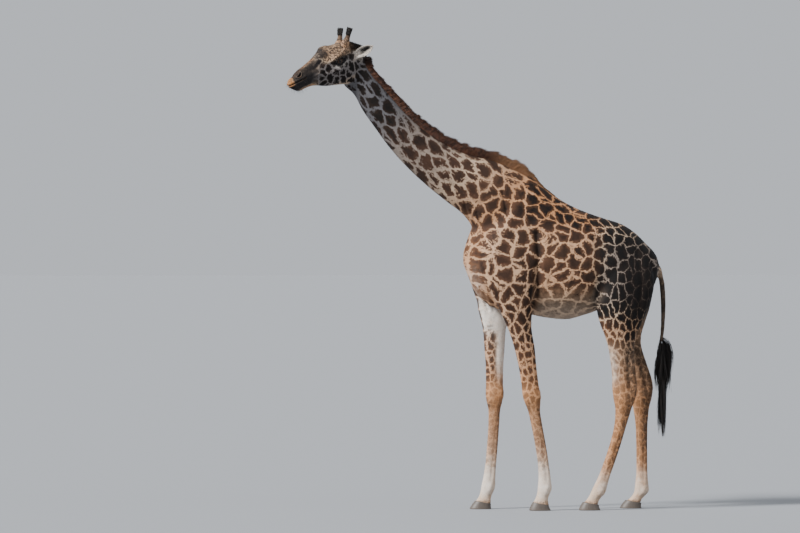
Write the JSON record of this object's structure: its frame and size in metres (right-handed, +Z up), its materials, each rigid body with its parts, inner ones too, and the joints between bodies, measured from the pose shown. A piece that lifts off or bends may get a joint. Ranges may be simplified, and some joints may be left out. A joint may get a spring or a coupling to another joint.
{
  "type": "masai giraffe",
  "caption": "Still, life-size giraffe standing on all its hooves, head turned a little to its left, with mane, ossicones and a long tail tuft.",
  "frame": {"origin": "middle of the whole animal's box at the level of the soles", "axes": "+Z up, the animal faces -X, its left side is toward -Y"},
  "size_m": [3.412, 0.5704, 4.2135],
  "materials": {
    "coat": "short flat hair, dark brown patches between pale tan lines",
    "ear_fur": "short soft white hair, dark inside the cup",
    "ossicone": "short brown hair with a dark tufted tip",
    "mane_hair": "stiff reddish brown hair",
    "long_hair": "coarse long black hair",
    "hoof": "grey brown horn, worn and lightly ridged",
    "eye": "wet and glossy"
  },
  "bodies": {
    "root": {"head": "coat", "ear_left": "ear_fur", "ear_right": "ear_fur", "eye_left": "eye", "eye_right": "eye", "ossicone_left": "ossicone", "ossicone_right": "ossicone", "neck_upper": "coat", "neck_middle": "coat", "neck_lower": "coat", "torso": "coat", "leg_front_left_upper": "coat", "leg_front_left_lower": "coat", "hoof_front_left_inner": "hoof", "hoof_front_left_outer": "hoof", "leg_front_right_upper": "coat", "leg_front_right_lower": "coat", "hoof_front_right_inner": "hoof", "hoof_front_right_outer": "hoof", "leg_hind_left_upper": "coat", "leg_hind_left_lower": "coat", "hoof_hind_left_inner": "hoof", "hoof_hind_left_outer": "hoof", "leg_hind_right_upper": "coat", "leg_hind_right_lower": "coat", "hoof_hind_right_inner": "hoof", "hoof_hind_right_outer": "hoof", "tail": "coat", "tail_tuft": "long_hair"}
  },
  "joints": []
}
